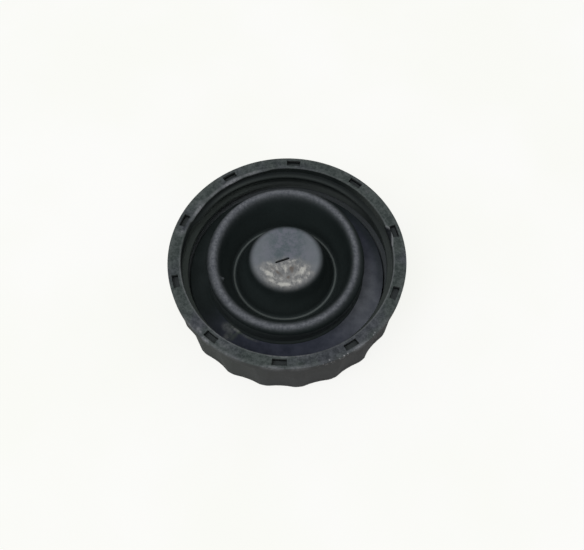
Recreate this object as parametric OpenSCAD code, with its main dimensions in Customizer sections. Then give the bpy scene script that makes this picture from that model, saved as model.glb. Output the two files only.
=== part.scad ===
// Screw cap of a fluid reservoir with a slit rubber diaphragm in its mouth.
// The cap lies on its closed end: the floor is at z = 0, the mouth opens towards +Z.

/* [Cap] */
// Diameter of the plain band round the mouth
rim_d = 52; // [48:0.5:60]
// Height from the closed end to the rim face
cap_h = 16.5; // [15:0.5:24]
// Wall between the thread's root and the plain band
wall_t = 2.8; // [2.6:0.1:3.5]
// Thickness of the closed end
crown_t = 2.2; // [1.6:0.1:3]
// Height of the plain band below the rim face
band_h = 2; // [1:0.25:3]
// How far the plain band stands out from the fluted wall
band_step = 0.4; // [0.1:0.05:0.6]
// How much the fluted wall draws in from the band to the shoulder, on the radius
draft = 0.3; // [0.1:0.05:0.5]
// Radius of the rounded shoulder at the closed end
shoulder_r = 3; // [1.5:0.25:4]
// Chamfer on the inner edge of the mouth
mouth_chamfer = 0.15; // [0.1:0.05:0.4]
// Radius on the outer edge of the rim
rim_edge_r = 0.15; // [0.1:0.05:0.5]
// Width of the recessed panel in the closed end
panel_d = 33; // [20:0.5:40]
// Depth of the recessed panel
panel_depth = 0.5; // [0.2:0.1:0.8]
// Diameter of the injection mark in the middle of the panel
gate_d = 2.4; // [1:0.1:4]

/* [Grip flutes] */
// Number of hollow flutes round the wall
flute_n = 20; // [12:2:28]
// Radius of one hollow
flute_r = 8.5; // [6:0.25:12]
// Depth of a hollow at the shoulder
flute_depth = 0.95; // [0.4:0.05:1]
// Depth of a hollow just under the band
flute_top_depth = 0.45; // [0.2:0.05:0.9]
// Direction of one crest, seen into the mouth
flute_turn = 5.4; // [0:0.2:18]

/* [Rim pockets] */
// Number of blind pockets in the rim face
pocket_n = 10; // [4:1:16]
// Length of a pocket along the rim
pocket_w = 3; // [1.5:0.25:5]
// Width of a pocket across the rim
pocket_t = 1.3; // [0.8:0.05:1.4]
// Depth of a pocket
pocket_depth = 1.2; // [0.5:0.1:1.6]
// Direction of the chipped pocket, seen into the mouth
chip_turn = 14; // [0:1:36]
// Length of the chip along the mouth, beside that pocket
chip_w = 4; // [1:0.1:6]
// Depth of the chip
chip_depth = 0.7; // [0.2:0.1:1.1]

/* [Thread] */
// Height of the thread ridge above the wall
thread_h = 1.1; // [0.6:0.05:1.4]
// Rise of the thread in one turn
thread_pitch = 3.8; // [3.2:0.1:5]
// Width of the ridge at the wall
thread_root_w = 1.9; // [1.6:0.1:2]
// Width of the ridge at its crest
thread_crest_w = 0.9; // [0.4:0.1:1.4]
// Distance from the rim face down to the middle of the ridge where it starts
thread_start = 1.8; // [1.1:0.1:2.4]
// Distance from the middle of the ridge where it ends down to the sealing face
thread_stop = 1.2; // [1:0.1:2.4]
// Direction in which the ridge starts, seen into the mouth
thread_turn = 160; // [0:1:359]

/* [Seat ring] */
// Distance from the sealing face down to the step round the seat, which centres the flange
step_drop = 0.5; // [0.3:0.1:1.2]
// Height of the chamfer from that step up to the thread's root
step_chamfer = 0.4; // [0.2:0.1:0.8]
// Thickness of the seat ring
seat_t = 1.8; // [1.2:0.1:2.4]
// Number of vent slots through the seat ring
vent_n = 4; // [2:1:8]
// Width of a vent slot
vent_w = 2; // [1:0.25:4]

/* [Diaphragm] */
// Distance from the rim face down to the sealing face
seal_depth = 7.8; // [6:0.1:9]
// Play between the flange's edge and the thread's crest, where the flange lies nearest to it
flange_play = 0.15; // [0.1:0.05:0.5]
// Width of the flat sealing face
seal_w = 3.3; // [2.6:0.1:3.6]
// Thickness of the sealing flange
flange_t = 1.6; // [1.2:0.1:2.2]
// Height of the lip that hangs down round the seat ring
lip_h = 2.2; // [1:0.1:3]
// Thickness of that lip
lip_t = 1; // [0.8:0.1:1.2]
// Play between the lip and the seat ring, on the radius
seat_play = 0.8; // [0.6:0.05:1]
// How far the diaphragm lies to one side within that play
lie_x = -0.1; // [-0.4:0.1:0.4]
// Thickness of the folded rubber
web_t = 1; // [0.7:0.05:1.1]
// Width of the ring fold at its crest
ridge_w = 3; // [2.4:0.1:3.2]
// Distance from the rim face down to the crest of the ring fold
ridge_drop = 0.4; // [0:0.1:2]
// How much the outer side of the ring fold draws in from its foot to its crest
ridge_draft = 0.1; // [0.1:0.05:0.5]
// Distance from the post's side out to the bottom of the groove round it
trough_out = 3.05; // [2.8:0.05:3.6]
// Distance from the rim face down to the bottom of that groove
trough_depth = 8.15; // [6:0.05:9]
// Rounding of the bottom of that groove
trough_r = 0.8; // [0.5:0.1:1.5]
// Diameter of the post in the middle
post_d = 16.9; // [13:0.1:17.3]
// Distance from the rim face down to the top of the post
post_drop = 0.7; // [0:0.1:2]
// Rounding of the post's edge
post_edge_r = 1.5; // [1.1:0.1:2]
// Length of the breathing slit in the post
slit_len = 3.3; // [1:0.1:6]
// Width of the slit as it stands open
slit_w = 0.2; // [0.1:0.05:0.5]
// Direction of the slit, seen into the mouth
slit_turn = 22; // [0:1:179]

/* [Hidden] */
$fn = 96;
// Steps in a rounded corner of a profile
arc_steps = 8;
// Flat steps in one turn of the thread
thread_steps = 48;
// Overlap where one form is joined to or cut from another
join = 0.3;
rim_r = rim_d / 2;
root_r = rim_r - wall_t;
crest_r = root_r - thread_h;
band_z = cap_h - band_h;
flute_wall_r = rim_r - band_step;
shoulder_wall_r = flute_wall_r - draft;
flute_top_z = band_z - band_step / 2;
floor_z = crown_t;
flange_z = cap_h - seal_depth;
seat_z = flange_z - flange_t;
flange_r = crest_r - flange_play - abs(lie_x);
lip_r = flange_r - lip_t;
seat_r = lip_r - seat_play;
pocket_r = rim_r - wall_t / 2;
// How far the injection mark stands up from the panel
gate_h = 0.3;
// Chamfers on the panel's edge and on the lip
panel_chamfer = 0.4;
lip_chamfer = 0.3;
// Rounding where the ring fold meets the flange
foot_round = 0.5;
// Middle of that rounding, and of the bends of the fold and the groove, from the diaphragm's axis
foot_r = flange_r - lip_chamfer - seal_w;
ridge_r = foot_r - foot_round - ridge_draft - ridge_w / 2;
trough_mid_r = post_d / 2 + trough_out;
// Middle of the slit, measured from the middle of the post
slit_at = [-0.5, -0.7];
// How far the chip reaches into the pocket
chip_tip = 0.15;
// Angles over which the thread ridge grows out of the wall at its two ends
thread_lead_in = 8;
thread_run_out = 40;

function on_circle(centre, r, a) = centre + r * [cos(a), sin(a)];
function arc(centre, r, from, to) =
    [for (i = [0:arc_steps]) on_circle(centre, r, from + (to - from) * i / arc_steps)];
function reversed(list) = [for (i = [len(list) - 1:-1:0]) list[i]];

// A folded skin is a chain of bends [centre, radius], joined by straight walls that touch both.
// A bend to the left has a positive radius, one to the right a negative radius.
function bend_centre(b) = b[0];
function bend_radius(b) = b[1];
function heading(p, q) = let (d = bend_centre(q) - bend_centre(p))
    atan2(d[1], d[0]) - asin((bend_radius(q) - bend_radius(p)) / norm(d));
// The skin's line at depth t below its face, entered in direction first and left in direction last
function skin(bends, first, last, t) = [
    for (i = [0:len(bends) - 1])
        let (a = i == 0 ? first : heading(bends[i - 1], bends[i]))
        let (b = i == len(bends) - 1 ? last : heading(bends[i], bends[i + 1]))
        let (turn = bend_radius(bends[i]) > 0 ? (b - a + 720) % 360 : -((a - b + 720) % 360))
        for (s = [0:arc_steps])
            let (h = a + turn * s / arc_steps)
            bend_centre(bends[i]) + (bend_radius(bends[i]) - t) * [sin(h), -cos(h)]
];

// Outline of the turned cap, with the shallow panel and the injection mark in its closed end
module cap_outline() {
    shoulder = [shoulder_wall_r - shoulder_r, shoulder_r];
    rim_edge = [rim_r - rim_edge_r, cap_h - rim_edge_r];
    polygon(concat(
        [
            [0, panel_depth - gate_h],
            [gate_d / 2, panel_depth - gate_h],
            [gate_d / 2, panel_depth],
            [panel_d / 2, panel_depth],
            [panel_d / 2 + panel_chamfer, 0]
        ],
        arc(shoulder, shoulder_r, -90, 0),
        [[flute_wall_r, flute_top_z], [rim_r, band_z]],
        arc(rim_edge, rim_edge_r, 0, 90),
        [
            [root_r + mouth_chamfer, cap_h],
            [root_r, cap_h - mouth_chamfer],
            [root_r, flange_z - step_drop],
            [crest_r + step_chamfer, flange_z - step_drop],
            [crest_r, flange_z - step_drop - step_chamfer],
            [crest_r, floor_z],
            [0, floor_z]
        ]
    ));
}

// One hollow flute: a round bar that leans outwards by the wall's draft and the change of depth
module flute() {
    low = [shoulder_wall_r - flute_depth + flute_r, shoulder_r];
    high = [flute_wall_r - flute_top_depth + flute_r, flute_top_z];
    lean = atan2(high[0] - low[0], high[1] - low[1]);
    length = norm(high - low) - flute_r * tan(lean);
    below = shoulder_r + join;
    translate([low[0], 0, low[1]])
        rotate([0, lean, 0])
            translate([0, 0, -below])
                cylinder(r = flute_r, h = length + below);
}

module rim_pocket() {
    translate([pocket_r - pocket_t / 2, -pocket_w / 2, cap_h - pocket_depth])
        cube([pocket_t, pocket_w, pocket_depth + join]);
}

// Bite broken out of the thin rim between one pocket and the mouth
module chip() {
    tip = pocket_r - pocket_t / 2 + chip_tip;
    translate([0, 0, cap_h - chip_depth])
        linear_extrude(chip_depth + join)
            polygon([
                [root_r - join, -chip_w / 2],
                [root_r + join, -chip_w / 2],
                [tip - join, -chip_w / 4],
                [tip, join / 2],
                [root_r + 2 * join, chip_w / 3],
                [root_r - join, chip_w / 2]
            ]);
}

module thread_ridge() {
    turns = (seal_depth - thread_start - thread_stop) / thread_pitch;
    count = ceil(turns * thread_steps);
    sweep = 360 * turns;
    half_root = thread_root_w / 2;
    half_crest = thread_crest_w / 2;
    // How far the ridge has grown at an angle along it, from 0 in the wall to 1
    function grown(a) = min(1, a / thread_lead_in, (sweep - a) / thread_run_out);
    function ring(i) =
        let (a = sweep * i / count)
        let (g = max(0, grown(a)))
        let (z = cap_h - thread_start - thread_pitch * a / 360)
        let (inner = root_r + 0.05 - (thread_h + 0.05) * g)
        let (outer = root_r + join)
        let (dir = [cos(thread_turn - a), sin(thread_turn - a)])
        [
            [outer * dir[0], outer * dir[1], z - half_root],
            [inner * dir[0], inner * dir[1], z - half_crest],
            [inner * dir[0], inner * dir[1], z + half_crest],
            [outer * dir[0], outer * dir[1], z + half_root]
        ];
    side = 4;
    polyhedron(
        points = [for (i = [0:count]) for (p = ring(i)) p],
        faces = concat(
            [[for (k = [side - 1:-1:0]) k]],
            [for (i = [0:count - 1]) for (k = [0:side - 1])
                let (n = (k + 1) % side)
                [i * side + k, i * side + n, (i + 1) * side + n, (i + 1) * side + k]],
            [[for (k = [0:side - 1]) count * side + k]]
        )
    );
}

module seat_ring() {
    difference() {
        rotate_extrude()
            translate([seat_r - seat_t, floor_z - join])
                square([seat_t, seat_z - floor_z + join]);
        for (i = [0:vent_n - 1])
            rotate([0, 0, (i + 0.5) * 360 / vent_n])
                translate([seat_r - seat_t - join, -vent_w / 2, floor_z])
                    cube([seat_t + 2 * join, vent_w, seat_z - floor_z + join]);
    }
}

module cap_shell() {
    color([0.17, 0.18, 0.18])
        difference() {
            union() {
                rotate_extrude() cap_outline();
                seat_ring();
                thread_ridge();
            }
            for (i = [0:flute_n - 1])
                rotate([0, 0, flute_turn + (i + 0.5) * 360 / flute_n]) flute();
            for (i = [0:pocket_n - 1])
                rotate([0, 0, chip_turn + i * 360 / pocket_n]) rim_pocket();
            rotate([0, 0, chip_turn]) chip();
        }
}

// The folded rubber from the sealing flange to the middle of the post, and the lip round the seat ring
module diaphragm_outline() {
    foot = [[foot_r, flange_z + foot_round], -foot_round];
    crest = [[ridge_r, cap_h - ridge_drop - ridge_w / 2], ridge_w / 2];
    trough = [[trough_mid_r, cap_h - trough_depth + trough_r], -trough_r];
    post = [[post_d / 2 - post_edge_r, cap_h - post_drop - post_edge_r], post_edge_r];
    bends = [foot, crest, trough, post];
    polygon(concat(
        [[flange_r - lip_chamfer, flange_z]],
        skin(bends, 180, 180, 0),
        [[0, cap_h - post_drop], [0, cap_h - post_drop - web_t]],
        reversed(skin(bends, 180, 180, web_t)),
        [
            [foot_r, seat_z],
            [lip_r, seat_z],
            [lip_r, seat_z - lip_h + lip_chamfer],
            [lip_r + lip_chamfer, seat_z - lip_h],
            [flange_r, seat_z - lip_h],
            [flange_r, flange_z - lip_chamfer]
        ]
    ));
}

module diaphragm() {
    color([0.06, 0.065, 0.07])
        translate([lie_x, 0, 0])
            difference() {
                rotate_extrude() diaphragm_outline();
                translate([slit_at[0], slit_at[1], cap_h - post_drop - web_t / 2])
                    rotate([0, 0, slit_turn])
                        cube([slit_len, slit_w, web_t + 2 * join], center = true);
            }
}

cap_shell();
diaphragm();
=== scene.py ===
"""A power steering reservoir cap lying mouth upwards on a white ground.

The cap is 52 mm wide. Shapes are worked out in millimetres about the cap's axis, angles are in degrees
counted from +X towards +Y, and depths are measured down from the rim face.
"""

import math

import bpy
import numpy as np
from mathutils import Matrix, Vector


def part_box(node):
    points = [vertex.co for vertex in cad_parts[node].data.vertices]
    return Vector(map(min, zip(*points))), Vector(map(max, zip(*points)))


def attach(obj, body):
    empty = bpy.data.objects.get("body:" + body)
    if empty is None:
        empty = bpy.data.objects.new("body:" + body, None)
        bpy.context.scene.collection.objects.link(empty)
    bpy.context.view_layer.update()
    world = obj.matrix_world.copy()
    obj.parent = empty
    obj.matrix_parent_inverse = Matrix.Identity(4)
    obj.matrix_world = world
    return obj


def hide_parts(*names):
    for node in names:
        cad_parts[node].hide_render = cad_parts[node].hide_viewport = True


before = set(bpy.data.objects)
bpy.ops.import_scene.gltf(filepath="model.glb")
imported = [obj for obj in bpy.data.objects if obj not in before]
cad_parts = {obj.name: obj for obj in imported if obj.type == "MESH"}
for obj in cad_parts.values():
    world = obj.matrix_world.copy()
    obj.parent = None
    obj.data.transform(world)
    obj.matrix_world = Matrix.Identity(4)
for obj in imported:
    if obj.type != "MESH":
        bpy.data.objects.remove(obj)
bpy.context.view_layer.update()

MM = 0.001
NEAR = 0.01  # points closer than this are one place
CRISP = 0.12  # a row of points this close to an edge keeps the edge crisp

# Sizes read from the frame
cap_low, cap_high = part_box("cap_shell")
rubber_low, rubber_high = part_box("diaphragm")
RIM_R = (cap_high.x - cap_low.x) / 2 / MM
CAP_H = cap_high.z / MM
FLANGE_R = (rubber_high.x - rubber_low.x) / 2 / MM
LIE_X = (rubber_high.x + rubber_low.x) / 2 / MM
LIP_Z = rubber_low.z / MM

# Cap: wall, band and closed end
WALL_T = 2.8
ROOT_R = RIM_R - WALL_T
FLOOR_Z = 2.2
BAND_H = 2.0
BAND_STEP = 0.4
DRAFT = 0.3
SHOULDER_R = 3.0
MOUTH_CHAMFER = 0.15
RIM_EDGE_R = 0.15
RIM_WAVE = 0.02
PANEL_R = 16.5
PANEL_DEPTH = 0.5
PANEL_CHAMFER = 0.4
GATE_R = 1.2  # the injection mark in the middle of the panel
GATE_H = 0.3

# Cap: flutes, with their depths at the shoulder and under the band
FLUTES = 20
FLUTE_R = 8.5
FLUTE_DEPTH_LOW = 0.95
FLUTE_DEPTH_HIGH = 0.45
FLUTE_TURN = 5.4
FLUTE_EDGE = 0.1
FLUTE_TOP = CAP_H - BAND_H - BAND_STEP / 2

# Cap: pockets in the rim face
POCKETS = 10
POCKET_W = 3.0
POCKET_T = 1.3
POCKET_DEPTH = 1.2
POCKET_TURN = 14.0
POCKET_BRINK = 0.05  # the face has a row of points this far from the pockets
POCKET_END_TURN = 0.12  # the pockets' ends slope over this many degrees
POCKET_R = RIM_R - WALL_T / 2
POCKET_HALF_TURN = math.degrees(math.asin(POCKET_W / 2 / POCKET_R))

# Cap: the chip broken out beside the first pocket
CHIP_ANGLES = (5.5, 18.4)
CHIP_DEEPEST = 15.5
CHIP_REACH = 0.95
CHIP_DEPTH = 0.7
CHIP_SLOPE = 1.6
CHIP_ROOM = 0.4  # the wall's close rows of points begin this far below the chip
CHIP_OUT_R = POCKET_R - POCKET_T / 2 + 0.02

# Cap: thread ridge, with half of its section as (distance along the axis, height above the wall)
THREAD_H = 1.1
THREAD_PITCH = 3.8
THREAD_START = 1.8
THREAD_STOP = 1.2
THREAD_TURN = 160.0
THREAD_LEAD_IN = 30.0
THREAD_LEAD_SHARE = 0.35
THREAD_RISE = 7.0
THREAD_FADE = 90.0
THREAD_SUNK = 0.02
THREAD_HALF = [
    (0.1, THREAD_H), (0.3, THREAD_H), (0.5, 1.0), (0.62, 0.78), (0.8, 0.3), (0.98, 0.0), (1.1, -0.3),
]

# Cap: the thin lip that stands into the mouth, with the degrees over which its two ends fade
MOUTH_LIP_ANGLES = (97.0, 158.0)
MOUTH_LIP_FADES = (6.0, 1.5)
MOUTH_LIP_IN = 0.3
MOUTH_LIP_H = 0.7

# Cap: the slotted ring that carries the diaphragm, and the step outside it
SEAT_T = 1.8
SEAT_CHAMFER = 0.15
SEAT_SUNK = 0.1
STEP_DROP = 0.5
STEP_CHAMFER = 0.4
VENTS = 4
VENT_W = 2.0

# Diaphragm: flange, lip and the skin that folds into ridge, trough and post
SEAL_DEPTH = 7.8
SEAL_W = 3.3
FLANGE_T = 1.6
EDGE_R = 0.25
LIP_T = 1.0
LIP_CHAMFER = 0.3
LIP_EDGE = 0.2
SEAT_PLAY = 0.8  # between the lip and the seat ring
WEB_T = 1.0  # the folded rubber's thickness
FOOT_ROUND = 0.5
RIDGE_W = 3.0
RIDGE_DROP = 0.4
RIDGE_DRAFT = 0.1
POST_R = 8.45
POST_DROP = 0.7
POST_EDGE_R = 1.5
TROUGH_R = 11.5
TROUGH_DEPTH = 8.15
TROUGH_ROUND = 0.8

# Worked out from the sizes of both
FLANGE_Z = CAP_H - SEAL_DEPTH
THREAD_SWEEP = 360 * (SEAL_DEPTH - THREAD_START - THREAD_STOP) / THREAD_PITCH
SEAT_Z = FLANGE_Z - FLANGE_T
LIP_R = FLANGE_R - LIP_T
SEAT_R = LIP_R - SEAT_PLAY
FOOT_R = FLANGE_R - LIP_CHAMFER - SEAL_W
RIDGE_R = FOOT_R - FOOT_ROUND - RIDGE_DRAFT - RIDGE_W / 2

# Diaphragm: how this one has set and leans
OVAL = 0.48
BULGE = 0.35
BULGE_TURN = 92.0
BULGE_SPAN = 36.0
FOLD_WAVE = 0.05
FOLD_SPREAD = 2.6
FOOT_IN = 0.5
FOOT_GROOVE = 0.3
FOOT_GROOVE_DEPTH = 5.6
FLANGE_PLUS = 0.1
LEAN_X = -0.42
POST_LEAN_X = -0.1
POST_WAVE = 0.05
PARTING_H = 0.08
NIB_TURN = 199.0
NIB_DEPTH = 1.6
NIB_H = 0.55
SLIT_AT = (-1.02, -0.75)
SLIT_LENGTH = 3.3
SLIT_HALF_W = 0.24
SLIT_TURN = 22.0
SLIT_WAVE = 0.05
SLIT_DEPTH = 0.6

# Diaphragm: gaps between rows of points where it is hidden, where it is seen, on the post's marked top
# within one radius, and about the slit within another
HIDDEN_GAP = 1.2
SEEN_GAP = 0.35
MARKED_R = 6.8
MARKED_GAP = 0.16
FINE_R = 3.2
FINE_GAP = 0.08

# How far down a mask reaches that belongs to the rim face, or to the tops of the fold and the post
FACE_BAND = 0.5
TOP_BAND = 3.0

# The painted sheen on the flange fades, as painted shade, past this angle on its outer part, which begins
# at this radius over this width
FADE_TURN = 330.0
FADE_R = 19.4
FADE_W = 1.8

# Worn places on the rim face: angle, half the angle it spans, radius, half the width, strength
SCUFFS = [
    (42, 1.2, 24.6, 0.8, 0.25),
    (110, 5, 23.2, 0.35, 0.7),
    (123, 6, 23.15, 0.45, 0.95),
    (136, 5, 23.2, 0.25, 0.5),
    (149, 5, 23.15, 0.4, 0.9),
    (146, 3, 23.9, 0.6, 0.3),
    (165, 0.9, 24.1, 0.4, 1.0),
    (165.5, 2.5, 24.5, 0.9, 0.3),
    (200, 20, 23.3, 0.14, 0.45),
    (230, 14, 23.3, 0.14, 0.5),
    (223.5, 1.6, 25.3, 0.35, 0.9),
    (229, 2.2, 25.9, 0.45, 1.0),
    (218, 4, 25.9, 0.15, 0.5),
    (238, 3, 24.6, 0.6, 0.3),
    (240, 9, 25.85, 0.3, 0.35),
    (252, 4, 23.35, 0.15, 0.3),
    (263, 5, 25.9, 0.25, 0.6),
    (275, 5, 25.85, 0.25, 0.5),
    (262, 2.5, 23.35, 0.2, 0.7),
    (268, 2, 23.35, 0.2, 0.8),
    (277, 4, 23.35, 0.15, 0.5),
    (305, 4, 25.85, 0.2, 0.8),
    (321, 4, 26.0, 0.5, 0.3),
    (345, 35, 23.3, 0.13, 0.35),
]
SPECKLES = [
    (293, 8, 26.0, 0.5, 1.0),
    (312, 5, 25.8, 0.5, 0.5),
]

# Dried fluid on the flange, in the same form
STAINS = [
    (226, 4.0, 18.8, 0.9, 0.6),
    (230, 2.0, 19.9, 1.4, 0.6),
    (233.5, 1.3, 19.4, 1.3, 0.5),
    (232, 5, 18.15, 0.3, 1.0),
    (243, 6, 18.25, 0.22, 0.5),
]

# The scraped patch on the top of the post, an oval with a ragged edge, and the marks in it: x, y, half
# the length, half the width, turn, strength
SCRAPE_AT = (-0.2, -4.3)
SCRAPE_HALF = (6.0, 3.9)
PALE_MARKS = [
    (-4.0, -4.0, 1.1, 0.5, -35, 1.0),
    (-4.0, -1.4, 0.6, 0.5, 0, 0.7),
    (-5.4, -2.9, 0.6, 0.4, -40, 0.7),
    (-0.7, -6.6, 1.4, 0.4, 0, 1.0),
    (-0.5, -2.6, 0.45, 0.9, 10, 0.8),
    (-2.2, -2.6, 0.3, 1.1, 25, 0.6),
    (3.3, -3.3, 0.6, 1.0, -30, 0.9),
    (1.6, -0.8, 1.2, 0.3, 15, 0.7),
    (2.6, -5.7, 0.8, 0.5, 30, 0.8),
    (-3.0, -5.8, 0.9, 0.4, -25, 0.8),
    (1.9, -4.4, 0.3, 1.2, -30, 0.6),
    (4.8, -2.0, 0.4, 0.6, 0, 0.4),
    (-2.8, -4.9, 0.8, 0.3, -30, 0.5),
    (0.8, -2.1, 0.5, 0.25, 40, 0.6),
    (2.5, -2.3, 0.5, 0.3, -60, 0.5),
    (4.7, -4.1, 0.35, 0.7, -35, 0.6),
    (-1.3, -5.2, 0.5, 0.3, 0, 0.5),
    (1.1, -5.9, 0.6, 0.3, 20, 0.6),
    (4.0, -5.1, 0.5, 0.3, 35, 0.5),
    (-3.2, -3.0, 0.4, 0.25, -50, 0.6),
]
BROWN_MARKS = [
    (1.0, -3.0, 0.6, 0.9, -20, 0.9),
    (-1.8, -3.9, 1.0, 0.35, -40, 0.9),
    (0.3, -4.9, 0.5, 0.5, 0, 0.7),
    (-3.2, -2.6, 0.7, 0.3, -50, 0.6),
]

# Ground and light. The glow is the share of the ground's whiteness that doesn't hang on the light, so
# that the shadow stays faint, and it shines a little more strongly than its share.
GROUND_W = 1600
GROUND_GLOW = 0.85
GLOW_STRENGTH = GROUND_GLOW + 0.04
ROOM_STRENGTH = 0.65
BACKDROP = (0.945, 0.95, 0.925, 1)

# Camera, fitted to the round rim. Its place is in rim radii from the middle of the rim face, its angles
# are in radians, and the picture's width and the lens are in pixels.
PICTURE_W = 584
LENS_PX = 721.14
TILT = 0.47109
BACK = 6.043
SHIFT_X = -0.0421
SHIFT_Y = -0.1623
ROLL = -0.0021
ORBIT = -0.0082
SENSOR_MM = 36.0


def smooth(t):
    """0 below 0, 1 above 1 and an even turn between."""
    t = np.clip(t, 0, 1)
    return t * t * (3 - 2 * t)


def bell(off, width):
    """1 where off is 0, falling away softly over the width on both sides."""
    return np.exp(-((off / width) ** 2))


def away(angle, centre):
    """Signed degrees from centre, within half a turn."""
    return (angle - centre + 180) % 360 - 180


def wobble(turn, seed, size):
    """A slow unevenness round the part, as its moulding and age leave."""
    rng = np.random.default_rng(seed)
    return size * sum(
        rng.uniform(-1, 1) / k * np.sin(k * turn + rng.uniform(0, math.tau)) for k in (2, 3, 5, 7)
    )


def arc(r, z, radius, start, end, steps):
    """Profile points round a corner whose middle is at (r, z)."""
    return [
        (r + radius * math.cos(a), z + radius * math.sin(a))
        for a in np.radians(np.linspace(start, end, steps + 1))
    ]


def run(a, b, steps):
    """Profile points from a towards b, without b itself."""
    return [tuple(np.array(a) + (np.array(b) - a) * k / steps) for k in range(steps)]


def filled(line, gap):
    """The line with points added wherever it runs straight for longer than gap."""
    out = []
    for a, b in zip(line, line[1:]):
        out += run(a, b, max(1, math.ceil(math.dist(a, b) / gap)))
    return out + [line[-1]]


def grid_mesh(name, x, y, z, close_rows=False, close_columns=True):
    """A mesh of quads over arrays of rows and columns, with both ends capped if the columns stay open."""
    rows, columns = x.shape
    points = np.stack([x, y, z], -1).reshape(-1, 3) * MM
    faces = []
    for i in range(rows if close_rows else rows - 1):
        j = (i + 1) % rows
        for k in range(columns if close_columns else columns - 1):
            n = (k + 1) % columns
            faces.append((i * columns + k, i * columns + n, j * columns + n, j * columns + k))
    if not close_columns:
        faces.append([i * columns for i in range(rows)])
        faces.append([i * columns + columns - 1 for i in reversed(range(rows))])
    mesh = bpy.data.meshes.new(name)
    mesh.from_pydata(points.tolist(), [], faces)
    return mesh


def add_mask(mesh, name, values):
    """Stores a number at every point, which the finishes read by the mask's name."""
    data = mesh.attributes.new(name, "FLOAT", "POINT").data
    data.foreach_set("value", values.astype(np.float32).ravel())


def lathe(name, profile, angles, shape, **masks):
    """A closed surface turned about Z from a profile that runs from the axis back to the axis.

    The shape moves the turned points. Each mask is a rule of the profile's radius, the angle, the
    height, and x and y.
    """
    profile = np.array(profile)
    turn = np.radians(angles)[None, :]
    r, z, turn = np.broadcast_arrays(profile[:, :1], profile[:, 1:], turn)
    x, y, z = shape(r.copy(), turn, z.copy())
    mesh = grid_mesh(name, x, y, z)
    for mask, rule in masks.items():
        add_mask(mesh, mask, rule(r, np.degrees(turn) % 360, z, x, y))
    return mesh


def finish_mesh(parts, name, sharp):
    """One object from several meshes, welded, facing outwards, and smooth but for its sharp edges."""
    objects = []
    for mesh in parts:
        o = bpy.data.objects.new(mesh.name, mesh)
        bpy.context.scene.collection.objects.link(o)
        objects.append(o)
    bpy.ops.object.select_all(action="DESELECT")
    for o in objects:
        o.select_set(True)
    bpy.context.view_layer.objects.active = objects[0]
    if len(objects) > 1:
        bpy.ops.object.join()
    o = bpy.context.view_layer.objects.active
    o.name = name
    bpy.ops.object.mode_set(mode="EDIT")
    bpy.ops.mesh.select_all(action="SELECT")
    bpy.ops.mesh.remove_doubles(threshold=NEAR * MM)
    bpy.ops.mesh.normals_make_consistent(inside=False)
    bpy.ops.object.mode_set(mode="OBJECT")
    bpy.ops.object.shade_smooth_by_angle(angle=math.radians(sharp))
    return o


def spots(places, angle, radius):
    """Soft spots, each at its own angle and radius. Where two overlap, the stronger one counts."""
    total = np.zeros_like(radius)
    for at, half, middle, width, strength in places:
        off = np.hypot(away(angle, at) / half, (radius - middle) / width)
        total = np.maximum(total, strength * smooth(1.5 - off))
    return total


# The cap's shape
def cap_profile():
    """Floor, threaded wall, rim, plain band, fluted wall, shoulder and closed end."""
    crest = ROOT_R - THREAD_H
    step = FLANGE_Z - STEP_DROP
    foot = (ROOT_R, step)
    chip_low = (ROOT_R, CAP_H - CHIP_DEPTH - CHIP_ROOM)
    mouth = (ROOT_R, CAP_H - MOUTH_CHAMFER)
    mouth_top = (ROOT_R + MOUTH_CHAMFER, CAP_H)
    pocket_in = POCKET_R - POCKET_T / 2
    pocket_out = POCKET_R + POCKET_T / 2
    face = list(np.linspace(mouth_top[0], pocket_in - POCKET_BRINK, 4))
    face += [pocket_in, POCKET_R, pocket_out, pocket_out + POCKET_BRINK, RIM_R - RIM_EDGE_R - CRISP]
    band = (RIM_R, CAP_H - BAND_H)
    under = (RIM_R - BAND_STEP, FLUTE_TOP)
    crisp = (under[0] - DRAFT / 100, under[1] - CRISP)
    low = (under[0] - DRAFT, SHOULDER_R)
    return (
        [(0, FLOOR_Z), (SEAT_R, FLOOR_Z), (crest, FLOOR_Z)]
        + [(crest, step - STEP_CHAMFER), (crest + STEP_CHAMFER, step)]
        + run(foot, chip_low, 8)
        + run(chip_low, mouth, 10)
        + run(mouth, mouth_top, 3)
        + [(r, CAP_H) for r in face]
        + arc(RIM_R - RIM_EDGE_R, CAP_H - RIM_EDGE_R, RIM_EDGE_R, 90, 0, 5)
        + [band]
        + run(under, crisp, 2)
        + run(crisp, low, 22)
        + arc(low[0] - SHOULDER_R, SHOULDER_R, SHOULDER_R, 0, -90, 14)
        + [(PANEL_R + PANEL_CHAMFER, 0), (PANEL_R, PANEL_DEPTH), (GATE_R, PANEL_DEPTH)]
        + [(GATE_R, PANEL_DEPTH - GATE_H), (0, PANEL_DEPTH - GATE_H)]
    )


def cap_angles():
    """Columns every half degree, and close pairs where the pockets' ends stand."""
    ends = [
        POCKET_TURN + i * 360 / POCKETS + side * (POCKET_HALF_TURN + gap)
        for i in range(POCKETS)
        for side in (-1, 1)
        for gap in (0, POCKET_END_TURN)
    ]
    return np.unique(np.round(np.mod(np.concatenate([np.arange(0, 360, 0.5), ends]), 360), 4))


def flute_limit(turn, z):
    """How far out the hollow flutes let the wall reach."""
    pitch = 2 * math.pi / FLUTES
    phase = (turn - math.radians(FLUTE_TURN)) % pitch - pitch / 2
    up = np.clip((z - SHOULDER_R) / (FLUTE_TOP - SHOULDER_R), 0, 1)
    wall = RIM_R - BAND_STEP - DRAFT + DRAFT * up
    middle = wall - (FLUTE_DEPTH_LOW + (FLUTE_DEPTH_HIGH - FLUTE_DEPTH_LOW) * up) + FLUTE_R
    return middle * np.cos(phase) - np.sqrt(np.maximum(FLUTE_R**2 - (middle * np.sin(phase)) ** 2, 0))


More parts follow.
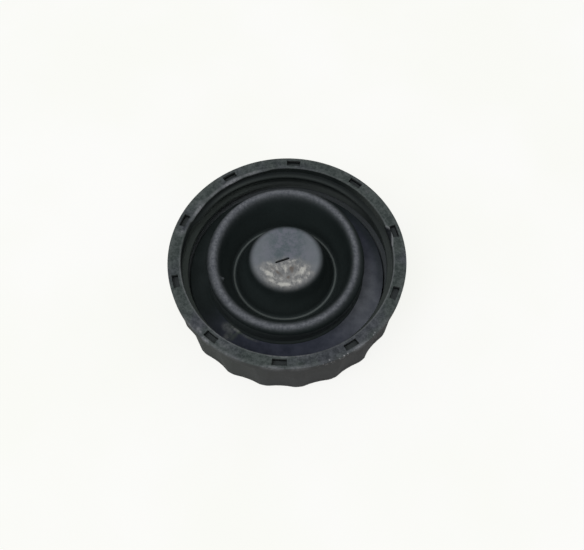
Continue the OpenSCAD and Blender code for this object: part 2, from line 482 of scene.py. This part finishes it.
def fluted(r, turn, z):
    """The radius with the flutes pressed in, and the edges between them rounded a little."""
    outside = (r > ROOT_R) & (z < FLUTE_TOP + NEAR)
    limit = flute_limit(turn, z)
    rounding = np.maximum(FLUTE_EDGE - np.abs(r - limit), 0) ** 2 / (4 * FLUTE_EDGE)
    return np.where(outside, np.minimum(r, limit) - rounding, r)


def lipped(r, angle, z):
    """The radius with the thin lip that stands into the mouth at the back left."""
    first, last = MOUTH_LIP_ANGLES
    first_fade, last_fade = MOUTH_LIP_FADES
    lip = smooth((angle - first) / first_fade) * smooth((last - angle) / last_fade)
    lip = lip * smooth((z - CAP_H + MOUTH_LIP_H) / 0.25) * smooth((ROOT_R + 0.5 - r) / 0.4)
    return r - MOUTH_LIP_IN * lip


def chip_growth(angle):
    """1 where the chip is deepest, 0 at its ends and less than 0 beyond them."""
    first, last = CHIP_ANGLES
    return np.where(
        angle < CHIP_DEEPEST,
        (angle - first) / (CHIP_DEEPEST - first),
        (last - angle) / (last - CHIP_DEEPEST),
    )


def chipped(r, angle, z):
    """The height with the chip broken out of the mouth's edge."""
    growth = chip_growth(angle).clip(0, 1)
    jag = 0.08 * np.sin(angle * 4.1) + 0.05 * np.sin(angle * 9.7 + r * 6)
    inside = ROOT_R + (CHIP_REACH + jag) * growth - r
    bite = CAP_H - np.clip(inside * CHIP_SLOPE, 0, 1) * (CHIP_DEPTH + jag)
    broken = (inside > 0) & (growth > 0) & (r >= ROOT_R - NEAR) & (r < CHIP_OUT_R)
    return np.where(broken, np.minimum(z, bite), z)


def cap_shape(r, turn, z):
    """Adds the flutes, the lip, the pockets, the chip and a slight wave in the rim to the turned cap."""
    angle = np.degrees(turn) % 360
    r = fluted(r, turn, z)
    r = lipped(r, angle, z)
    top = z > CAP_H - NEAR / 10
    step = 360 / POCKETS
    in_turn = np.abs((angle - POCKET_TURN + step / 2) % step - step / 2) < POCKET_HALF_TURN + NEAR
    in_ring = np.abs(r - POCKET_R) < POCKET_T / 2 + NEAR
    z = np.where(top & in_turn & in_ring, CAP_H - POCKET_DEPTH, z)
    z = chipped(r, angle, z)
    z = z + np.where(top & ~in_ring, wobble(turn, 3, RIM_WAVE), 0)
    return r * np.cos(turn), r * np.sin(turn), z


def on_face(places):
    """A mask of spots on the rim face."""

    def mask(r, angle, z, x, y):
        return spots(places, angle, np.hypot(x, y)) * (z > CAP_H - FACE_BAND)

    return mask


def chip_edge(r, angle, z, x, y):
    """The pale broken edge of the chip beside the first pocket."""
    growth = chip_growth(angle)
    off = ROOT_R + (CHIP_REACH + 0.1) * growth - np.hypot(x, y)
    return bell(off, 0.2) * (growth > -0.05) * (z > CAP_H - FACE_BAND)


def chip_inside(r, angle, z, x, y):
    """The dull broken face of the chip."""
    first, last = CHIP_ANGLES
    in_turn = (angle > first - 1) & (angle < last + 1)
    return in_turn & (z < CAP_H - 0.1) & (z > CAP_H - 1.6) & (r < CHIP_OUT_R)


def thread_mesh():
    """The ridge: a rounded section carried down a helix, growing out of the wall at both ends."""
    section = np.array([(-across, high) for across, high in reversed(THREAD_HALF)] + THREAD_HALF)
    across, high = section[:, :1], section[:, 1:]
    along = np.linspace(-THREAD_LEAD_IN, THREAD_SWEEP, 200)
    lead_in = THREAD_LEAD_SHARE * smooth((along + THREAD_LEAD_IN) / THREAD_LEAD_IN)
    start = np.maximum(lead_in, smooth(along / THREAD_RISE))
    grown = np.minimum(start, smooth((THREAD_SWEEP - along) / THREAD_FADE))
    turn = np.radians(THREAD_TURN - along)
    r = ROOT_R - (high * np.where(high > 0, grown[None, :], 1) - THREAD_SUNK)
    z = CAP_H - THREAD_START - THREAD_PITCH * along[None, :] / 360 + across
    x, y = r * np.cos(turn), r * np.sin(turn)
    mesh = grid_mesh("thread", x, y, z, close_rows=True, close_columns=False)
    # A painted highlight line along the crest wanders across it, and comes and goes
    line = np.interp(along, [0, 10, 30, 60, 100, 115, 140], [-0.1, 0.0, 0.35, 0.35, 0.45, 0.2, 0.1])
    strength = np.interp(along, [-10, 5, 40, 60, 100, 115, 145], [0.3, 1.0, 0.9, 0.5, 0.5, 0.85, 0.0])
    # The ridge above its lower flank is painted dark as shade, less so from 110 degrees along
    add_mask(mesh, "thread", (across > -0.55) * (1 - 0.85 * smooth((along - 110) / 60)))
    add_mask(mesh, "thread_edge", strength * bell(across - line, 0.36) * (high > 0.7))
    return mesh


def seat_meshes():
    """The ring that carries the diaphragm, in quarters between its vents."""
    inner = SEAT_R - SEAT_T
    shoulder = SEAT_Z - SEAT_CHAMFER
    corners = np.array([
        (inner, FLOOR_Z - SEAT_SUNK), (SEAT_R, FLOOR_Z - SEAT_SUNK), (SEAT_R, shoulder),
        (SEAT_R - SEAT_CHAMFER, SEAT_Z), (inner + SEAT_CHAMFER, SEAT_Z), (inner, shoulder),
    ])
    r, z = corners[:, :1], corners[:, 1:]
    half_vent = math.degrees(VENT_W / 2 / SEAT_R)
    quarter = 360 / VENTS
    for i in range(VENTS):
        start = (i - 0.5) * quarter + half_vent
        turn = np.radians(np.linspace(start, start + quarter - 2 * half_vent, 40))[None, :]
        x, y, high = np.broadcast_arrays(r * np.cos(turn), r * np.sin(turn), z)
        yield grid_mesh(f"seat_{i}", x, y, high, close_rows=True, close_columns=False)


# The diaphragm's shape
def skin(bends, depth, steps=14):
    """A folded skin's line at a depth below its face: bends of (r, z, radius) joined by touching walls.

    A bend to the left has a positive radius and one to the right a negative one. The line comes in
    from the rim and leaves for the axis.
    """

    def heading(p, q):
        gap = math.hypot(q[0] - p[0], q[1] - p[1])
        return math.degrees(math.atan2(q[1] - p[1], q[0] - p[0]) - math.asin((q[2] - p[2]) / gap))

    heads = [180.0] + [heading(p, q) for p, q in zip(bends, bends[1:])] + [180.0]
    line = []
    for (r, z, radius), a, b in zip(bends, heads, heads[1:]):
        turn = (b - a) % 360 if radius > 0 else -((a - b) % 360)
        for h in np.radians(np.linspace(a, a + turn, steps + 1)):
            line.append((r + (radius - depth) * math.sin(h), z - (radius - depth) * math.cos(h)))
    return line


def diaphragm_profile():
    """The hollow side and the lip below, then the flange, the ring fold, the groove and the post above."""
    post_z = CAP_H - POST_DROP
    bends = [
        (FOOT_R, FLANGE_Z + FOOT_ROUND, -FOOT_ROUND),
        (RIDGE_R, CAP_H - RIDGE_DROP - RIDGE_W / 2, RIDGE_W / 2),
        (TROUGH_R, CAP_H - TROUGH_DEPTH + TROUGH_ROUND, -TROUGH_ROUND),
        (POST_R - POST_EDGE_R, post_z - POST_EDGE_R, POST_EDGE_R),
    ]
    hollow = skin(bends, WEB_T, 6) + [(0, post_z - WEB_T)]
    lip = [
        (FOOT_R, SEAT_Z), (LIP_R, SEAT_Z), (LIP_R, LIP_Z + LIP_CHAMFER), (LIP_R + LIP_CHAMFER, LIP_Z),
        (FLANGE_R - LIP_EDGE, LIP_Z),
    ]
    edge = arc(FLANGE_R + FLANGE_PLUS - EDGE_R, FLANGE_Z - EDGE_R, EDGE_R, 0, 90, 6)
    above = [(FLANGE_R, LIP_Z + LIP_EDGE)] + edge + skin(bends, 0)
    rows = [*np.arange(MARKED_R, FINE_R, -MARKED_GAP), *np.arange(FINE_R, 0, -FINE_GAP), 0]
    post = [(r, post_z) for r in rows]
    return filled(hollow[::-1] + lip, HIDDEN_GAP) + filled(above, SEEN_GAP) + post


def slit_place(x, y):
    """Distance along and across the slit from its middle."""
    a = math.radians(SLIT_TURN)
    dx, dy = x - SLIT_AT[0], y - SLIT_AT[1]
    along = dx * math.cos(a) + dy * math.sin(a)
    return along, dy * math.cos(a) - dx * math.sin(a) + SLIT_WAVE * np.sin(along * 1.3)


def slit_width(along):
    """Half the slit's width at a distance along it, and 0 beyond its ends."""
    return SLIT_HALF_W * np.sqrt(np.maximum(1 - (along / (SLIT_LENGTH / 2)) ** 6, 0))


def from_nib(angle):
    """Distance from the nib, along the fold."""
    return away(angle, NIB_TURN) * math.radians(1) * RIDGE_R


def set_fold(r, turn, depth):
    """The radius with the fold set oval and bulged, its foot drawn in and grooved, and its nib added."""
    angle = np.degrees(turn)
    near = bell(r - RIDGE_R, FOLD_SPREAD) * smooth((SEAL_DEPTH - depth) / SEAL_DEPTH)
    r = r - OVAL * near * np.cos(2 * turn) + wobble(turn, 11, FOLD_WAVE) * near
    r = r + BULGE * near * bell(away(angle, BULGE_TURN), BULGE_SPAN)
    foot = bell(r - FOOT_R + 0.2, 0.8) * smooth((depth - 2.2) / 2.5) * (depth < SEAL_DEPTH + 0.2)
    r = r - FOOT_IN * foot * (0.35 + 0.65 * np.maximum(np.cos(turn + 0.5), 0))
    outer = r > RIDGE_R
    groove = smooth((depth - FOOT_GROOVE_DEPTH) / 0.15) * smooth((SEAL_DEPTH - 0.35 - depth) / 0.3)
    r = r - np.where(outer, FOOT_GROOVE * groove, 0)
    nib = NIB_H * bell(from_nib(angle), 0.4) * bell(depth - NIB_DEPTH, 0.45)
    return r - np.where((r > TROUGH_R) & ~outer, nib, 0)


def diaphragm_shape(r, turn, z):
    """Sets the fold and leans it, and adds the parting line in the groove and the slit in the post."""
    depth = CAP_H - z
    r = set_fold(r, turn, depth)
    in_groove = (depth > TROUGH_DEPTH - 0.3) & (depth < TROUGH_DEPTH + 0.02)
    z = z + np.where(in_groove, PARTING_H * bell(r - TROUGH_R, 0.17), 0)
    lean = LEAN_X * smooth((FOOT_R - 0.2 - r) / 1.2)
    lean = lean + (POST_LEAN_X - LEAN_X) * smooth(POST_R + 1.2 - r)
    x = r * np.cos(turn) + LIE_X + lean
    y = r * np.sin(turn)
    along, across = slit_place(x, y)
    width = slit_width(along)
    slit = np.where(depth < POST_DROP + 0.02, smooth((width - np.abs(across)) / 0.06 + 0.4), 0)
    z = z - SLIT_DEPTH * slit * (width > 0.02)
    post_top = (depth < 1.0) & (r < POST_R)
    z = z + np.where(post_top, POST_WAVE * np.sin(x * 0.5 + 1) * np.cos(y * 0.4), 0)
    return x, y, z


def rubbed_mask(r, angle, z, x, y):
    """The top of the post, which carries a painted sheen and a scraped patch."""
    return smooth((POST_R - r) / 1.7) * (z > CAP_H - TOP_BAND)


def on_post(places):
    """A mask of soft marks on the top of the post."""

    def mask(r, angle, z, x, y):
        total = np.zeros_like(r)
        for mark_x, mark_y, length, width, turn, strength in places:
            c, s = math.cos(math.radians(turn)), math.sin(math.radians(turn))
            dx, dy = x - mark_x, y - mark_y
            off = np.hypot((dx * c + dy * s) / length, (dy * c - dx * s) / width)
            total = np.maximum(total, strength * smooth((2.2 - off) / 2))
        return total * (r < POST_R) * (z > CAP_H - TOP_BAND)

    return mask


def slit_mask(r, angle, z, x, y):
    """The inside of the slit, painted dark as the shade in it."""
    along, across = slit_place(x, y)
    width = slit_width(along)
    return smooth((width - np.abs(across)) / 0.1 + 0.5) * (z > CAP_H - TOP_BAND) * (width > 0.02)


def parting_mask(r, angle, z, x, y):
    """The thin parting line at the bottom of the groove round the post, painted pale as a highlight along
    it.
    """
    in_groove = (z < CAP_H - TROUGH_DEPTH + 0.5) & (z > FLANGE_Z - 1)
    return np.exp(-(((r - TROUGH_R) / 0.2) ** 4)) * in_groove


def crest_mask(r, angle, z, x, y):
    """The crest of the fold, painted pale as the highlight along it."""
    width = 0.75 + 0.15 * np.cos(np.radians(angle - 160))
    return bell(r - RIDGE_R, width) * (z > CAP_H - TOP_BAND)


def nib_mask(r, angle, z, x, y):
    """The pale tip of the nib inside the fold's crest."""
    tip = bell(from_nib(angle), 0.45) * bell(z - CAP_H + NIB_DEPTH, 0.5)
    return tip * (r > TROUGH_R) * (r < RIDGE_R)


def outside_mask(r, angle, z, x, y):
    """The fold's outer wall, painted lighter to lift its shade."""
    return smooth((r - RIDGE_R - 0.9) / 0.6) * (z < CAP_H - 2.0) * (z > FLANGE_Z + 0.2) * (r < FOOT_R)


def fold_mask(r, angle, z, x, y):
    """Everything inside the flange."""
    return smooth((FOOT_R - 0.3 - r) / 0.4)


def deep_mask(r, angle, z, x, y):
    """The lower parts of the fold's walls and the groove, painted lighter to lift their shade, more so at
    the front.
    """
    return smooth((CAP_H - 1.5 - z) / 5.5) * (0.78 - 0.22 * np.sin(np.radians(angle))) * (r < FOOT_R)


def on_flange(r, z):
    """Whether a point is on the flange's face or its edge."""
    return (z > FLANGE_Z - 1.4) & (z < FLANGE_Z + 0.1) & (r > FOOT_R - 0.6)


def outer_fade(r, angle, span, drop):
    """1, falling by the drop on the flange's outer part, over the span of degrees past FADE_TURN, as
    painted shade.
    """
    return 1 - drop * smooth(away(angle, FADE_TURN) / span) * smooth((r - FADE_R) / FADE_W)


def bloom_mask(r, angle, z, x, y):
    """A painted bluish sheen on the flange, strongest at the front right and fading out towards the left,
    where the flange lies in shade.
    """
    bloom = smooth((112 - np.abs(away(angle, 315))) / 35)
    return bloom * outer_fade(r, angle, 30, 0.7) * on_flange(r, z)


def chalk_mask(r, angle, z, x, y):
    """A painted highlight on the flange, paler than its sheen, at the front right."""
    return bell(away(angle, 338), 30) * outer_fade(r, angle, 25, 0.6) * on_flange(r, z)


def stain_mask(r, angle, z, x, y):
    """The dried fluid on the flange: a few runs across it and a smear at the foot of the fold."""
    return spots(STAINS, angle, r) * (np.abs(z - FLANGE_Z) < 0.6)


# Finishes
class Finish:
    """A material built node by node. Distances in its textures are in millimetres."""

    def __init__(self, name):
        self.material = bpy.data.materials.new(name)
        self.material.use_nodes = True
        self.tree = self.material.node_tree
        self.tree.nodes.clear()
        self.shader = self.node("BsdfPrincipled")
        self.put(self.node("OutputMaterial").inputs[0], self.shader.outputs[0])
        scale = self.node("VectorMath")
        scale.operation = "SCALE"
        scale.inputs["Scale"].default_value = 1 / MM
        self.put(scale.inputs[0], self.node("TexCoord").outputs["Object"])
        self.place = scale.outputs[0]
        apart = self.node("SeparateXYZ")
        self.put(apart.inputs[0], self.place)
        self.x, self.y, self.z = apart.outputs

    def node(self, kind):
        """A new shader node of that kind."""
        return self.tree.nodes.new("ShaderNode" + kind)

    def put(self, socket, value):
        """Fills a socket with another node's output, a number, or a colour as red, green and blue."""
        if isinstance(value, bpy.types.NodeSocket):
            self.tree.links.new(value, socket)
        elif isinstance(value, tuple):
            socket.default_value = (*value, 1)
        else:
            socket.default_value = value

    def set(self, **values):
        """Fills the shader's own sockets, whose names are written with an underscore for each space."""
        for name, value in values.items():
            self.put(self.shader.inputs[name.replace("_", " ")], value)

    def math(self, operation, a, b=0.0):
        """The result of one operation on two values."""
        node = self.node("Math")
        node.operation = operation
        self.put(node.inputs[0], a)
        self.put(node.inputs[1], b)
        return node.outputs[0]

    def times(self, a, b):
        """The product of two values."""
        return self.math("MULTIPLY", a, b)

    def length(self, a, b):
        """The length of a line that goes a one way and b square to it."""
        return self.math("SQRT", self.math("ADD", self.times(a, a), self.times(b, b)))

    def step(self, value, low, high):
        """0 where value is at low, 1 at high, with a soft turn between."""
        node = self.node("MapRange")
        node.interpolation_type = "SMOOTHSTEP"
        self.put(node.inputs["Value"], value)
        node.inputs["From Min"].default_value = low
        node.inputs["From Max"].default_value = high
        return node.outputs["Result"]

    def noise(self, per_mm, detail, rough, stretch=(1, 1, 1), turn=0.0):
        """Cloudy noise, which may be stretched, and turned about Z."""
        place = self.node("Mapping")
        place.inputs["Scale"].default_value = stretch
        place.inputs["Rotation"].default_value = (0, 0, math.radians(turn))
        self.put(place.inputs[0], self.place)
        node = self.node("TexNoise")
        node.inputs["Scale"].default_value = per_mm
        node.inputs["Detail"].default_value = detail
        node.inputs["Roughness"].default_value = rough
        self.put(node.inputs["Vector"], place.outputs[0])
        return node.outputs[0]

    def cloud(self, per_mm, detail, rough, low, high):
        """Noise drawn out to clouds, 0 where the noise is at low and 1 where it is at high."""
        return self.step(self.noise(per_mm, detail, rough), low, high)

    def dots(self, per_mm, inner, outer):
        """Small round spots strewn over the surface, 1 within inner and 0 beyond outer."""
        node = self.node("TexVoronoi")
        node.inputs["Scale"].default_value = per_mm
        self.put(node.inputs["Vector"], self.place)
        return self.step(node.outputs["Distance"], outer, inner)

    def mask(self, name):
        """The mask of that name, as stored in the mesh."""
        node = self.node("Attribute")
        node.attribute_name = name
        return node.outputs["Fac"]

    def mix(self, share, a, b):
        """A colour between a and b, which is b where the share is 1."""
        node = self.node("Mix")
        node.data_type = "RGBA"
        self.put(node.inputs["Factor"], share)
        self.put(node.inputs["A"], a)
        self.put(node.inputs["B"], b)
        return node.outputs["Result"]

    def coats(self, base, *layers):
        """A base colour under layers of (share, colour), each laid over those before it."""
        for share, colour in layers:
            base = self.mix(share, base, colour)
        return base

    def bump(self, height, mm, before=None):
        """The surface's direction disturbed by a height, on top of an earlier one if there is one."""
        node = self.node("Bump")
        node.inputs["Distance"].default_value = mm * MM
        self.put(node.inputs["Height"], height)
        if before is not None:
            self.put(node.inputs["Normal"], before)
        return node.outputs[0]


def plastic():
    """Black plastic: wall and thread, greyer skirt, mottled rim face, and what is worn or broken, with
    painted light and shade inside.
    """
    f = Finish("moulded_plastic")
    radius = f.length(f.x, f.y)
    beyond_mouth = f.step(radius, ROOT_R - 0.4, ROOT_R - 0.2)
    face = f.times(f.step(f.z, CAP_H - 0.25, CAP_H - 0.08), beyond_mouth)
    mouth_edge = f.math("SUBTRACT", beyond_mouth, f.step(radius, ROOT_R + 0.2, ROOT_R + 0.45))
    mouth_edge = f.times(mouth_edge, f.step(f.z, CAP_H - 0.4, CAP_H - 0.1))
    brim = f.times(face, f.step(radius, RIM_R - 1.1, RIM_R - 0.4))
    outer = f.step(radius, ROOT_R + 0.2, ROOT_R + 0.5)
    at_sides = f.step(f.math("ABSOLUTE", f.x), 11.0, 20.0)
    low = f.step(f.z, CAP_H - 2.0, CAP_H - 4.5)
    low_at_back = f.times(f.step(f.y, 12, 20), f.step(f.z, CAP_H - 5.0, CAP_H - 6.5))
    by_flange = f.step(f.z, FLANGE_Z + 0.1, FLANGE_Z - 0.3)

    pocket_z = CAP_H - POCKET_DEPTH
    beyond_pocket = f.step(radius, RIM_R - 0.7, RIM_R - 0.6)
    pocket = f.math("SUBTRACT", f.step(radius, ROOT_R + 0.5, ROOT_R + 0.6), beyond_pocket)
    pocket = f.times(pocket, f.step(f.z, CAP_H - 0.3, CAP_H - 0.7))
    pocket = f.times(pocket, f.step(f.z, pocket_z - 0.1, pocket_z - 0.05))
    pocket_floor = f.times(pocket, f.step(f.z, pocket_z + 0.2, pocket_z + 0.08))

    cloud = f.cloud(0.16, 4, 0.55, 0.35, 0.68)
    mottle = f.cloud(1.3, 6, 0.75, 0.34, 0.68)
    wall = f.mix(cloud, (0.012, 0.016, 0.0155), (0.017, 0.021, 0.0205))
    # Painted light on the shaded inner wall: lighter at the sides, and lower down, more so on the left
    side_wall = f.mix(cloud, (0.042, 0.050, 0.047), (0.058, 0.066, 0.062))
    low_wall = f.mix(f.step(f.x, 0, -12.0), (0.040, 0.048, 0.046), (0.066, 0.080, 0.073))
    skirt = f.mix(f.step(f.x, 2.0, -16.0), (0.050, 0.050, 0.051), (0.054, 0.059, 0.055))
    green = f.mix(mottle, (0.029, 0.038, 0.036), (0.083, 0.097, 0.093))
    blue = f.mix(mottle, (0.032, 0.036, 0.042), (0.087, 0.093, 0.105))
    base = f.coats(
        wall,
        (at_sides, side_wall),
        (low, low_wall),
        # painted light lifting the shade deep at the back and by the flange
        (low_at_back, (0.11, 0.125, 0.12)),
        (by_flange, (0.085, 0.095, 0.100)),
        # painted shade on the thread, and a painted highlight along its crest
        (f.mask("thread"), (0.008, 0.011, 0.011)),
        (f.mask("thread_edge"), (0.060, 0.070, 0.066)),
        (f.times(outer, 0.9), skirt),
        # the pockets' walls painted dark as the shade in them
        (pocket, (0.012, 0.015, 0.016)),
        (pocket_floor, (0.052, 0.059, 0.060)),
        (face, f.mix(f.cloud(0.11, 3, 0.5, 0.44, 0.64), green, blue)),
        (f.times(mouth_edge, 0.22), (0.15, 0.16, 0.16)),
        (f.times(brim, 0.07), (0.20, 0.21, 0.205)),
        (f.times(f.mask("scuff"), f.cloud(1.7, 5, 0.75, 0.30, 0.62)), (0.22, 0.225, 0.24)),
        (f.times(f.mask("speckle"), f.dots(1.5, 0.2, 0.34)), (0.32, 0.32, 0.33)),
        (f.mask("chip_inside"), (0.010, 0.012, 0.014)),
        (f.times(f.mask("chip_edge"), 0.95), (0.19, 0.20, 0.205)),
    )
    grain = f.noise(5.0, 3, 0.6)
    rough = f.math("ADD", 0.48, f.times(grain, 0.16))
    f.set(Base_Color=base, Roughness=rough, Specular_IOR_Level=0.14, Specular_Tint=(0.88, 0.95, 0.96))
    f.set(Normal=f.bump(grain, 0.02, f.bump(f.noise(0.7, 3, 0.5), 0.03)))
    return f.material


def post_colour(f):
    """The top of the post: a painted bluish sheen, lighter towards the front and the flanks as painted
    light, and a scraped patch at its front with its marks.
    """
    front = f.step(f.y, 0.0, -3.0)
    flanks = f.step(f.math("ABSOLUTE", f.x), 1.5, 6.0)
    sheen = f.coats(
        f.mix(f.cloud(0.55, 6, 0.75, 0.35, 0.65), (0.088, 0.112, 0.122), (0.150, 0.158, 0.188)),
        (front, (0.170, 0.180, 0.195)),
        (f.times(flanks, 0.6), (0.170, 0.185, 0.200)),
    )
    ragged = f.noise(1.3, 6, 0.75, stretch=(1.3, 0.8, 1), turn=25)
    pale = f.math("ADD", f.times(f.mask("pale"), 0.5), ragged)
    brown = f.math("ADD", f.times(f.mask("brown"), 0.5), ragged)
    scrape = f.coats(
        f.mix(f.step(ragged, 0.30, 0.72), (0.140, 0.146, 0.150), (0.30, 0.298, 0.288)),
        (f.step(pale, 0.62, 1.05), (0.50, 0.495, 0.46)),
        (f.step(brown, 0.68, 1.0), (0.13, 0.112, 0.098)),
    )
    across = f.times(f.math("SUBTRACT", f.x, SCRAPE_AT[0]), 1 / SCRAPE_HALF[0])
    along = f.times(f.math("SUBTRACT", f.y, SCRAPE_AT[1]), 1 / SCRAPE_HALF[1])
    off = f.math("ADD", f.length(across, along), f.noise(0.6, 4, 0.65))
    return f.mix(f.step(off, 1.75, 1.2), sheen, scrape)


def rubber():
    """Black rubber: folds lifted with painted light, a flange with a painted sheen and dried fluid, and
    painted highlights on the crest and the post, whose top is also scraped.
    """
    f = Finish("black_rubber")
    cloud = f.cloud(0.22, 4, 0.6, 0.3, 0.7)
    streak = f.cloud(0.35, 4, 0.6, 0.3, 0.7)
    flat = f.mix(cloud, (0.017, 0.024, 0.0225), (0.025, 0.034, 0.033))
    folded = f.mix(cloud, (0.008, 0.012, 0.0115), (0.011, 0.016, 0.0155))
    # painted light lifting the shade low in the fold
    folded = f.mix(f.mask("deep"), folded, (0.028, 0.037, 0.036))
    # painted sheen and highlight on the flange
    bloom = f.mix(streak, (0.038, 0.044, 0.065), (0.066, 0.073, 0.103))
    chalk = f.mix(streak, (0.115, 0.125, 0.145), (0.180, 0.192, 0.215))
    # painted highlight along the fold's crest
    crest = f.mix(f.cloud(1.6, 5, 0.7, 0.3, 0.75), (0.080, 0.086, 0.098), (0.175, 0.184, 0.200))
    dried = f.mix(f.cloud(0.5, 3, 0.5, 0.40, 0.60), (0.150, 0.180, 0.130), (0.250, 0.262, 0.255))
    rubbed = f.mask("rubbed")
    base = f.coats(
        flat,
        (f.mask("fold"), folded),
        (f.mask("bloom"), bloom),
        (f.mask("chalk"), chalk),
        # painted light lifting the shade on the fold's outer wall
        (f.mask("outside"), (0.040, 0.050, 0.049)),
        # the parting line painted pale as a highlight
        (f.times(f.mask("parting"), 0.95), (0.130, 0.150, 0.143)),
        (f.mask("crest"), crest),
        (f.times(f.mask("nib"), 0.8), (0.12, 0.13, 0.14)),
        # the post's top: a painted sheen, and a scraped patch
        (rubbed, post_colour(f)),
        # the slit painted dark as the shade in it
        (f.mask("slit"), (0.006, 0.007, 0.008)),
        (f.times(f.mask("stain"), f.cloud(1.0, 5, 0.65, 0.22, 0.62)), dried),
    )
    rough = f.math("ADD", 0.55, f.times(f.noise(0.6, 4, 0.6), 0.12))
    rough = f.math("ADD", rough, f.times(rubbed, 0.1))
    f.set(Base_Color=base, Roughness=rough, Specular_IOR_Level=0.17, Specular_Tint=(0.86, 0.92, 1.0))
    f.set(Normal=f.bump(f.noise(4.0, 4, 0.6), 0.015, f.bump(f.noise(0.5, 3, 0.5), 0.05)))
    return f.material


def ground_finish():
    """White paper that glows for the camera, and is plain light grey to everything else."""
    f = Finish("ground")
    seen = f.node("LightPath").outputs["Is Camera Ray"]
    paper = f.mix(f.cloud(0.02, 3, 0.5, 0.35, 0.65), (0.945, 0.95, 0.91), (0.96, 0.96, 0.94))
    base = f.mix(seen, (0.6, 0.6, 0.58), f.mix(GROUND_GLOW, paper, (0, 0, 0)))
    f.set(Base_Color=base, Roughness=0.9, Specular_IOR_Level=0.0)
    f.set(Emission_Color=paper, Emission_Strength=f.times(seen, GLOW_STRENGTH))
    return f.material


# Light and camera
def softbox(name, azimuth, elevation, distance, size, watts, tint):
    """A square light that looks at the cap from that direction, in degrees and metres."""
    a, e = math.radians(azimuth), math.radians(elevation)
    light = bpy.data.lights.new(name, "AREA")
    light.size = size
    light.energy = watts
    light.color = tint
    o = bpy.data.objects.new(name, light)
    bpy.context.scene.collection.objects.link(o)
    o.location = distance * Vector((math.cos(a) * math.cos(e), math.sin(a) * math.cos(e), math.sin(e)))
    o.rotation_euler = o.location.to_track_quat("Z", "Y").to_euler()


def light_room():
    """Even light from all round, with a white backdrop where the camera sees past the ground."""
    world = bpy.data.worlds.new("studio")
    world.use_nodes = True
    bpy.context.scene.world = world
    tree = world.node_tree
    tree.nodes.clear()
    room = tree.nodes.new("ShaderNodeBackground")
    room.inputs["Color"].default_value = (1.0, 1.0, 1.0, 1)
    room.inputs["Strength"].default_value = ROOM_STRENGTH
    white = tree.nodes.new("ShaderNodeBackground")
    white.inputs["Color"].default_value = BACKDROP
    white.inputs["Strength"].default_value = 1.0
    seen = tree.nodes.new("ShaderNodeLightPath")
    pick = tree.nodes.new("ShaderNodeMixShader")
    output = tree.nodes.new("ShaderNodeOutputWorld")
    tree.links.new(seen.outputs["Is Camera Ray"], pick.inputs[0])
    tree.links.new(room.outputs[0], pick.inputs[1])
    tree.links.new(white.outputs[0], pick.inputs[2])
    tree.links.new(pick.outputs[0], output.inputs[0])


def place_camera():
    """The camera, standing where the picture was taken."""
    orbit = Matrix.Rotation(ORBIT, 3, "Z")
    forward = orbit @ Vector((0, math.sin(TILT), -math.cos(TILT)))
    down = orbit @ Vector((0, -math.cos(TILT), -math.sin(TILT)))
    right = orbit @ Vector((1, 0, 0))
    right_rolled = math.cos(ROLL) * right - math.sin(ROLL) * down
    down_rolled = math.sin(ROLL) * right + math.cos(ROLL) * down
    rim_middle = Vector((0, 0, CAP_H)) * MM
    eye = rim_middle - (SHIFT_X * right_rolled + SHIFT_Y * down_rolled + BACK * forward) * RIM_R * MM
    lens = bpy.data.cameras.new("camera")
    lens.sensor_width = SENSOR_MM
    lens.lens = SENSOR_MM * LENS_PX / PICTURE_W
    lens.clip_start = 0.01
    camera = bpy.data.objects.new("camera", lens)
    bpy.context.scene.collection.objects.link(camera)
    turned = Matrix((right_rolled, -down_rolled, -forward)).transposed()
    camera.matrix_world = Matrix.Translation(eye) @ turned.to_4x4()
    bpy.context.scene.camera = camera


# The two pieces
cap_turned = lathe(
    "cap", cap_profile(), cap_angles(), cap_shape,
    scuff=on_face(SCUFFS), speckle=on_face(SPECKLES), chip_edge=chip_edge, chip_inside=chip_inside,
)
cap = finish_mesh([cap_turned, thread_mesh(), *seat_meshes()], "cap_visual", sharp=32)
cap.data.materials.clear()
cap.data.materials.append(plastic())
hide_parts("cap_shell")
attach(cap, "root")

seal_turned = lathe(
    "seal", diaphragm_profile(), np.arange(0, 360, 1.0), diaphragm_shape,
    rubbed=rubbed_mask, crest=crest_mask, parting=parting_mask, stain=stain_mask, bloom=bloom_mask,
    chalk=chalk_mask, fold=fold_mask, deep=deep_mask, slit=slit_mask, pale=on_post(PALE_MARKS),
    brown=on_post(BROWN_MARKS), outside=outside_mask, nib=nib_mask,
)
seal = finish_mesh([seal_turned], "diaphragm_visual", sharp=40)
seal.data.materials.clear()
seal.data.materials.append(rubber())
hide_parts("diaphragm")
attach(seal, "root")

# Their surroundings
bpy.ops.mesh.primitive_plane_add(size=GROUND_W * MM, location=(0, 0, 0))
ground = bpy.context.object
ground.name = "ground"
ground.data.materials.append(ground_finish())

softbox("key", azimuth=225, elevation=58, distance=0.9, size=0.45, watts=1.8, tint=(0.95, 0.96, 1.0))
light_room()
place_camera()
bpy.context.scene.view_settings.view_transform = "Standard"
